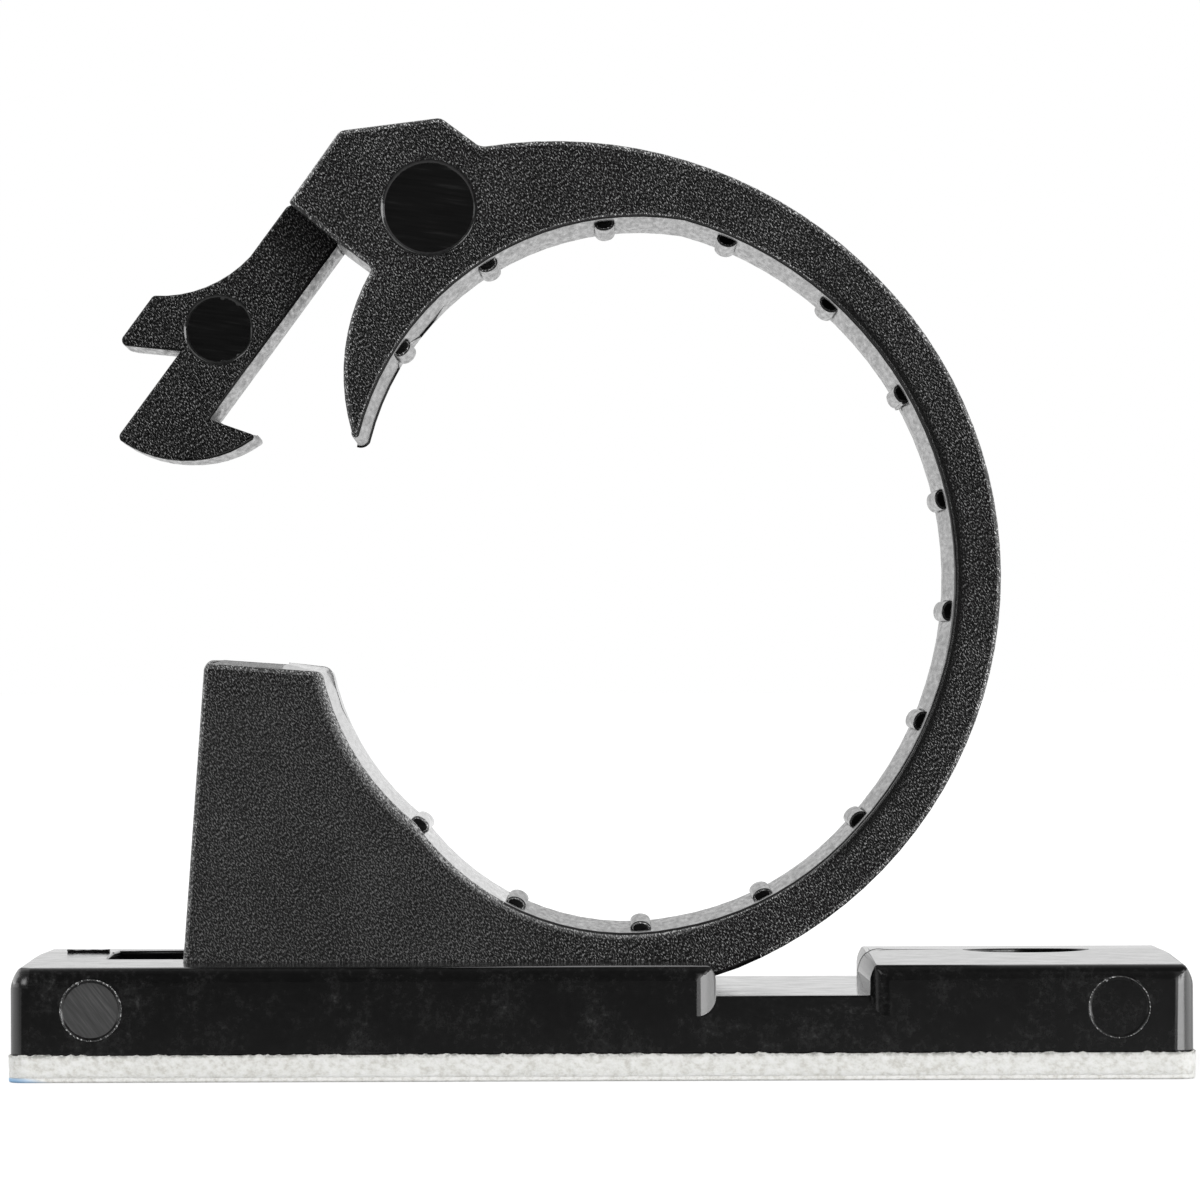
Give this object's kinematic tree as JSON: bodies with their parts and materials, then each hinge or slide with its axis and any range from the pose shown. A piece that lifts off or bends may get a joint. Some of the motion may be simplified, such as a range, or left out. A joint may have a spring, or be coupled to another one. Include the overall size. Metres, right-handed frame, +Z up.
{
  "type": "adhesive cable clamp",
  "caption": "Releasable cable clamp: a ribbed spring loop with a latch tongue rises from a flat base backed with adhesive foam tape and beside a screw hole.",
  "frame": {"origin": "middle of the underside of the release liner, where the clamp lies on a surface", "axes": "+X along the base from the latch post towards the screw hole, +Y from the front to the back along the cable, +Z up from the surface"},
  "size_m": [0.03, 0.0152, 0.0245],
  "materials": {
    "clamp_body": "black moulded nylon, spark-eroded grain on the flat faces and smooth on the rims and the base",
    "foam_tape": "off-white closed-cell foam with a fine cut edge",
    "release_liner": "thin pale blue-grey release film, satin"
  },
  "bodies": {
    "root": {"clamp_body": "clamp_body", "foam_tape": "foam_tape", "release_liner": "release_liner"}
  },
  "joints": []
}
